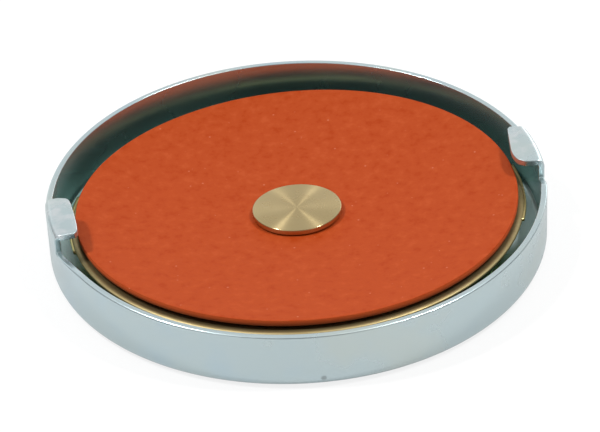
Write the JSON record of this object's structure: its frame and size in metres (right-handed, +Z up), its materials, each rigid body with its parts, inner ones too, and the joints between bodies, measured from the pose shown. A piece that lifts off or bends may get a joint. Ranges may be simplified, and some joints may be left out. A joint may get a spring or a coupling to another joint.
{
  "type": "bayonet filler cap",
  "caption": "Round bayonet filler cap: bright steel cup with inward tabs, leaf spring, dished brass plate, red rubber gasket and a turned brass rivet head.",
  "frame": {"origin": "middle of the outer face that the cap lies on", "axes": "+Z up through the rivet towards the sealing side, +X towards one bayonet tab's inner edge"},
  "size_m": [0.08, 0.08, 0.0111],
  "materials": {
    "bright_zinc": "bright zinc plating on pressed steel, bluish and satin",
    "spring_brass": "rolled spring brass",
    "plate_brass": "pressed brass sheet, slightly dull",
    "gasket_rubber": "matt orange-red rubber with a fine mottle",
    "turned_brass": "brass with fine lathe rings on the head"
  },
  "bodies": {
    "shell": {"cap_shell": "bright_zinc"},
    "rivet": {"centre_rivet": "turned_brass", "leaf_spring": "spring_brass"},
    "plate": {"pressure_plate": "plate_brass"},
    "gasket_ring": {"gasket": "gasket_rubber"}
  },
  "joints": [
    {"name": "seal_rock", "type": "hinge", "parent": "shell", "child": "rivet", "pos_m": [0, 0, 0.00547], "axis": [0.9232, 0.3843, 0], "range_deg": [0, 5.56]},
    {"name": "seal_press", "type": "slide", "parent": "rivet", "child": "plate", "axis": [-0.0186, 0.0448, 0.9988], "range_m": [-0.0005, 0], "stiffness_N_per_m": 6000, "springref_m": 0.0008, "deforming": ["leaf_spring"]},
    {"name": "gasket_turn", "type": "hinge", "parent": "plate", "child": "gasket_ring", "pos_m": [0, 0, 0.00547], "axis": [-0.0186, 0.0448, 0.9988], "continuous": true}
  ]
}
